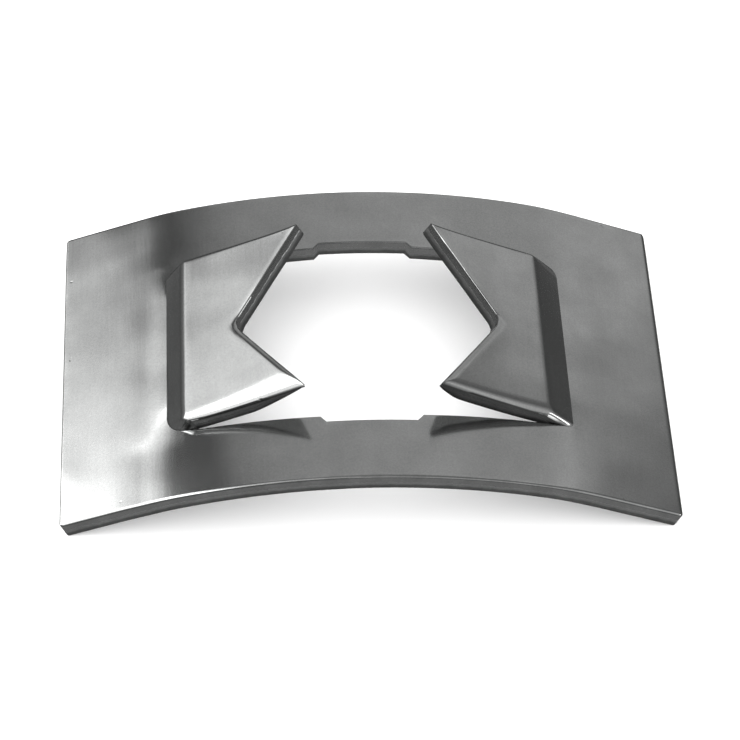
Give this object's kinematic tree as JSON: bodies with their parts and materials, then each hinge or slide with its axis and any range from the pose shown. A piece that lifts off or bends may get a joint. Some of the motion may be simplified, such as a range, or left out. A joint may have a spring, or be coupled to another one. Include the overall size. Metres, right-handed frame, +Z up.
{
  "type": "push on retaining washer",
  "caption": "Bowed rectangular push on retaining washer of spring steel, with two lanced tongues whose V notches bite on a plain stud.",
  "frame": {"origin": "middle of the washer's footprint, on the surface that its two end edges stand on", "axes": "+X along the washer's length, from end to end over the bow; +Y across its width; +Z up, the way the tongues are raised and the stud's tip points"},
  "size_m": [0.0158, 0.0096, 0.0034],
  "materials": {
    "spring_steel": "bright rolled spring steel, semi-gloss"
  },
  "bodies": {
    "root": {"retaining_washer": "spring_steel"}
  },
  "joints": []
}
